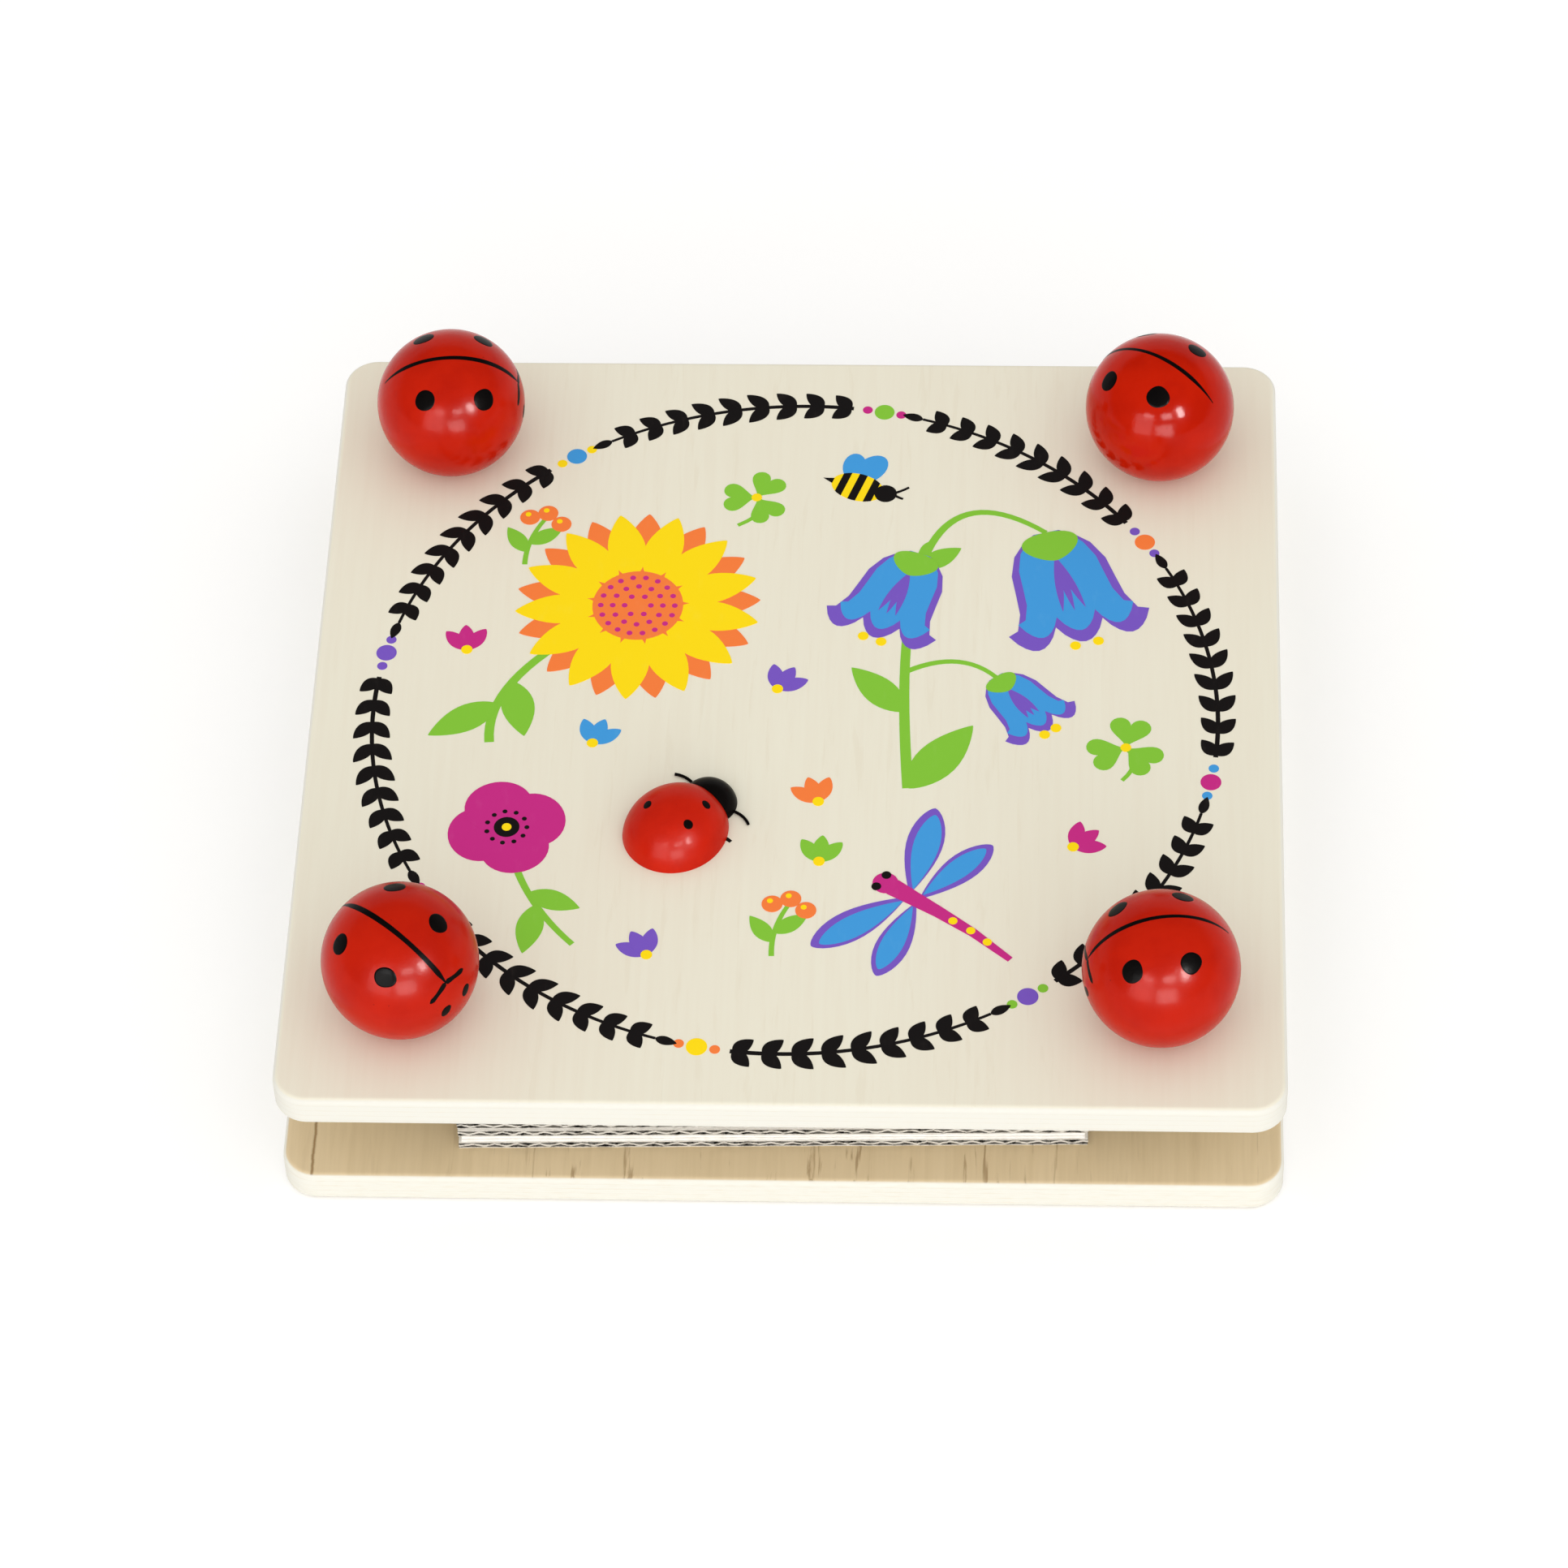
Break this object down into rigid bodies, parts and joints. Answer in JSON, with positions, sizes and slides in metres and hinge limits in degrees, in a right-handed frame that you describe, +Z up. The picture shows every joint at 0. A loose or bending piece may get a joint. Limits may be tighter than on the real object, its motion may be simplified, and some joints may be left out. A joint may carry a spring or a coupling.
{
  "type": "flower press",
  "caption": "Square wooden flower press: corrugated cards and blotting paper between two rounded boards, clamped by bolts with red ball knobs painted as ladybirds.",
  "frame": {"origin": "centre of the bottom board's underside", "axes": "+Z up along the bolts, +X to the right and +Y to the back of the press as pictured"},
  "size_m": [0.16, 0.16, 0.0492],
  "materials": {
    "printed_board": "pale sealed plywood, printed on its top face",
    "bare_board": "bare plywood face, pale sealed edges",
    "knob_paint": "turned ball in gloss red paint with black marks",
    "insert_brass": "turned",
    "bolt_steel": "zinc plated",
    "corrugated_card": "white corrugated card",
    "blotting_paper": "soft white blotting paper",
    "ladybird_red": "gloss red paint with black spots",
    "ladybird_black": "satin black paint",
    "antenna_black": "thin black wire"
  },
  "bodies": {
    "base": {"bottom_board": "bare_board", "bolts": "bolt_steel", "card_1": "corrugated_card", "blotter_1": "blotting_paper"},
    "layer_2": {"blotter_2": "blotting_paper", "card_2": "corrugated_card", "blotter_3": "blotting_paper"},
    "layer_3": {"blotter_4": "blotting_paper", "card_3": "corrugated_card", "blotter_5": "blotting_paper"},
    "layer_4": {"blotter_6": "blotting_paper", "card_4": "corrugated_card", "blotter_7": "blotting_paper"},
    "layer_5": {"blotter_8": "blotting_paper", "card_5": "corrugated_card", "blotter_9": "blotting_paper"},
    "layer_6": {"blotter_10": "blotting_paper", "card_6": "corrugated_card"},
    "top": {"top_board": "printed_board", "ladybird_body": "ladybird_red", "ladybird_head": "ladybird_black", "ladybird_antenna_left": "antenna_black", "ladybird_antenna_right": "antenna_black"},
    "front_left_knob": {"knob_front_left": "knob_paint", "insert_front_left": "insert_brass"},
    "front_right_knob": {"knob_front_right": "knob_paint", "insert_front_right": "insert_brass"},
    "back_left_knob": {"knob_back_left": "knob_paint", "insert_back_left": "insert_brass"},
    "back_right_knob": {"knob_back_right": "knob_paint", "insert_back_right": "insert_brass"}
  },
  "joints": [
    {"name": "front_left_knob_turn", "type": "hinge", "parent": "top", "child": "front_left_knob", "pos_m": [-0.06, -0.06, 0.026], "axis": [0, 0, 1], "range_deg": [0, 4590]},
    {"name": "front_right_knob_turn", "type": "hinge", "parent": "top", "child": "front_right_knob", "pos_m": [0.06, -0.06, 0.026], "axis": [0, 0, 1], "range_deg": [0, 4590]},
    {"name": "back_left_knob_turn", "type": "hinge", "parent": "top", "child": "back_left_knob", "pos_m": [-0.06, 0.06, 0.026], "axis": [0, 0, 1], "range_deg": [0, 4590]},
    {"name": "back_right_knob_turn", "type": "hinge", "parent": "top", "child": "back_right_knob", "pos_m": [0.06, 0.06, 0.026], "axis": [0, 0, 1], "range_deg": [0, 4590]},
    {"name": "top_lift", "type": "slide", "parent": "base", "child": "top", "axis": [0, 0, 1], "range_m": [0, 0.01275]},
    {"name": "layer_2_lift", "type": "slide", "parent": "base", "child": "layer_2", "axis": [0, 0, 1], "range_m": [0, 0.00213]},
    {"name": "layer_3_lift", "type": "slide", "parent": "base", "child": "layer_3", "axis": [0, 0, 1], "range_m": [0, 0.00425]},
    {"name": "layer_4_lift", "type": "slide", "parent": "base", "child": "layer_4", "axis": [0, 0, 1], "range_m": [0, 0.00638]},
    {"name": "layer_5_lift", "type": "slide", "parent": "base", "child": "layer_5", "axis": [0, 0, 1], "range_m": [0, 0.0085]},
    {"name": "layer_6_lift", "type": "slide", "parent": "base", "child": "layer_6", "axis": [0, 0, 1], "range_m": [0, 0.01063]}
  ],
  "couplings": [
    {"joint": "front_left_knob_turn", "follows": "top_lift", "rad_per_m": 6283.2},
    {"joint": "front_right_knob_turn", "follows": "top_lift", "rad_per_m": 6283.2},
    {"joint": "back_left_knob_turn", "follows": "top_lift", "rad_per_m": 6283.2},
    {"joint": "back_right_knob_turn", "follows": "top_lift", "rad_per_m": 6283.2},
    {"joint": "layer_2_lift", "follows": "top_lift", "ratio": 0.16667},
    {"joint": "layer_3_lift", "follows": "top_lift", "ratio": 0.33333},
    {"joint": "layer_4_lift", "follows": "top_lift", "ratio": 0.5},
    {"joint": "layer_5_lift", "follows": "top_lift", "ratio": 0.66667},
    {"joint": "layer_6_lift", "follows": "top_lift", "ratio": 0.83333}
  ]
}
